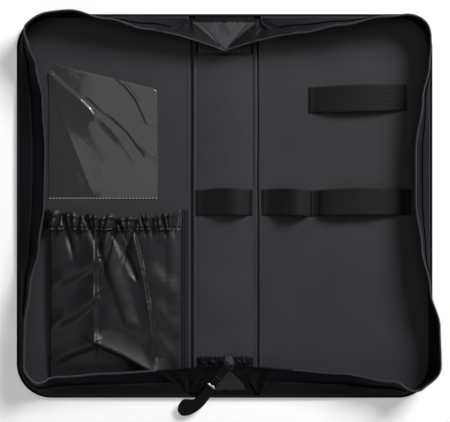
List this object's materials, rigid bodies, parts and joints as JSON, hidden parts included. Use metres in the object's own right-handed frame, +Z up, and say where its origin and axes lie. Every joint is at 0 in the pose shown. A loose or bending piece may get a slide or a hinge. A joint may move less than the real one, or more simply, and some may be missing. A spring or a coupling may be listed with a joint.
{
  "type": "hard chef knife case",
  "caption": "Zipped knife case with two stiff lids folding on a stiff spine, standing zip walls, elastic loops, a clear window and a gathered pocket.",
  "frame": {"origin": "middle of the spine's underside, on the surface that the open case lies on", "axes": "+X across the case to the lid with the knife loops, +Y along the folds to the far end, away from the zip slider, +Z up out of the open case"},
  "size_m": [0.5097, 0.4861, 0.0404],
  "materials": {
    "outer_cloth": "woven nylon",
    "stiffener": "pressed board",
    "lining": "smooth coated cloth",
    "piping": "folded binding",
    "zip_tape": "woven tape",
    "zip_coil": "moulded coil",
    "elastic": "ribbed elastic",
    "pocket_cloth": "satin nylon",
    "thread": "thread",
    "film": "clear vinyl",
    "slider_metal": "black enamel",
    "ferrule_metal": "bright",
    "pull_tab": "stitched leather"
  },
  "bodies": {
    "spine": {"spine_cover": "outer_cloth", "spine_board": "stiffener", "spine_lining": "lining", "left_fold_cloth": "lining", "right_fold_cloth": "lining", "top_tape_end": "zip_tape", "bottom_tape_end": "zip_tape", "top_gusset": "outer_cloth", "bottom_gusset": "outer_cloth", "top_spine_piping": "piping", "bottom_spine_piping": "piping", "top_left_fold": "outer_cloth", "top_right_fold": "outer_cloth", "bottom_left_fold": "outer_cloth", "bottom_right_fold": "outer_cloth", "knife_strap_spine_loop": "elastic", "spine_strap_tack_1": "thread", "spine_strap_tack_2": "thread", "slider_body": "slider_metal", "zip_tongue": "zip_coil", "slider_bridge": "slider_metal"},
    "left_lid": {"left_cover": "outer_cloth", "left_board": "stiffener", "left_lining": "lining", "left_piping": "piping", "left_wall": "outer_cloth", "left_zip_tape": "zip_tape", "left_zip_coil": "zip_coil", "window_film": "film", "window_seam": "thread", "pocket_front": "pocket_cloth", "pocket_casing": "pocket_cloth", "pocket_elastic": "elastic", "pocket_side_binding": "pocket_cloth"},
    "right_lid": {"right_cover": "outer_cloth", "right_board": "stiffener", "right_lining": "lining", "right_piping": "piping", "right_wall": "outer_cloth", "right_zip_tape": "zip_tape", "right_zip_coil": "zip_coil", "knife_strap_middle_loop": "elastic", "knife_strap_outer_loop": "elastic", "upper_strap": "elastic", "lid_strap_tack_1": "thread", "lid_strap_tack_2": "thread", "lid_strap_tack_3": "thread", "lid_strap_tack_4": "thread", "lid_strap_tack_5": "thread", "lid_strap_tack_6": "thread"},
    "pull_link": {"pull_link": "slider_metal"},
    "pull_tab": {"pull_tab": "pull_tab", "pull_ferrule": "ferrule_metal"}
  },
  "joints": [
    {"name": "left_fold", "type": "hinge", "parent": "spine", "child": "left_lid", "pos_m": [-0.04, 0, 0.0012], "axis": [0, 1, 0], "range_deg": [0, 90], "deforming": ["left_fold_cloth", "top_left_fold", "bottom_left_fold"]},
    {"name": "right_fold", "type": "hinge", "parent": "spine", "child": "right_lid", "pos_m": [0.04, 0, 0.0012], "axis": [0, -1, 0], "range_deg": [0, 90], "deforming": ["right_fold_cloth", "top_right_fold", "bottom_right_fold"]},
    {"name": "pull_pivot", "type": "hinge", "parent": "spine", "child": "pull_link", "pos_m": [0.005, -0.18982, 0.02466], "axis": [-0.788, 0.6157, 0], "range_deg": [0, 110]},
    {"name": "tab_flap", "type": "hinge", "parent": "pull_link", "child": "pull_tab", "pos_m": [-0.00822, -0.20674, 0.0199], "axis": [-0.788, 0.6157, 0], "range_deg": [0, 30]}
  ]
}
